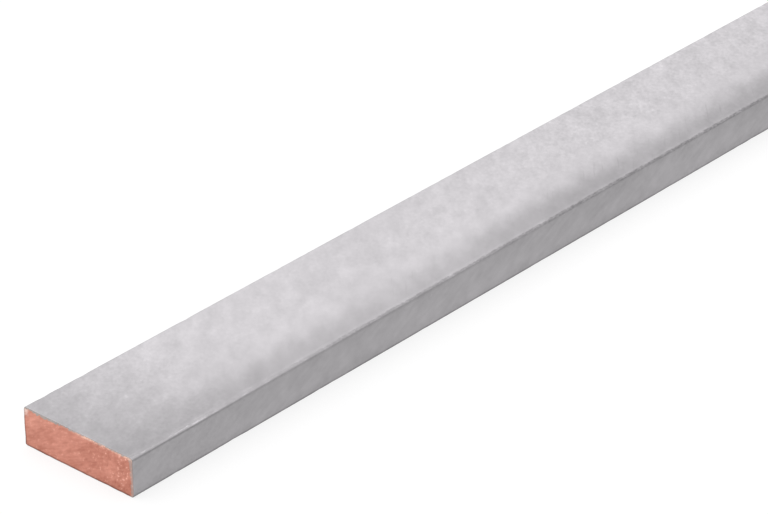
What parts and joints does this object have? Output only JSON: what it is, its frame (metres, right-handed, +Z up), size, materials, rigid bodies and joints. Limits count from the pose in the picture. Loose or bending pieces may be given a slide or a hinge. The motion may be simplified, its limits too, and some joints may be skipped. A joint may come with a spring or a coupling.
{
  "type": "tinned copper busbar",
  "caption": "Straight flat copper busbar with a matte tin finish, rounded long edges and bare copper cut ends, for clamps and bar carriers.",
  "frame": {"origin": "centre of the bottom wide face, on the surface that the bar lies on", "axes": "+X along the length, +Y across the width, +Z up through the thickness; the -X end is the cut end that the picture shows"},
  "size_m": [1, 0.01, 0.003],
  "materials": {
    "tinned_copper": "satin"
  },
  "bodies": {
    "root": {"busbar": "tinned_copper"}
  },
  "joints": []
}
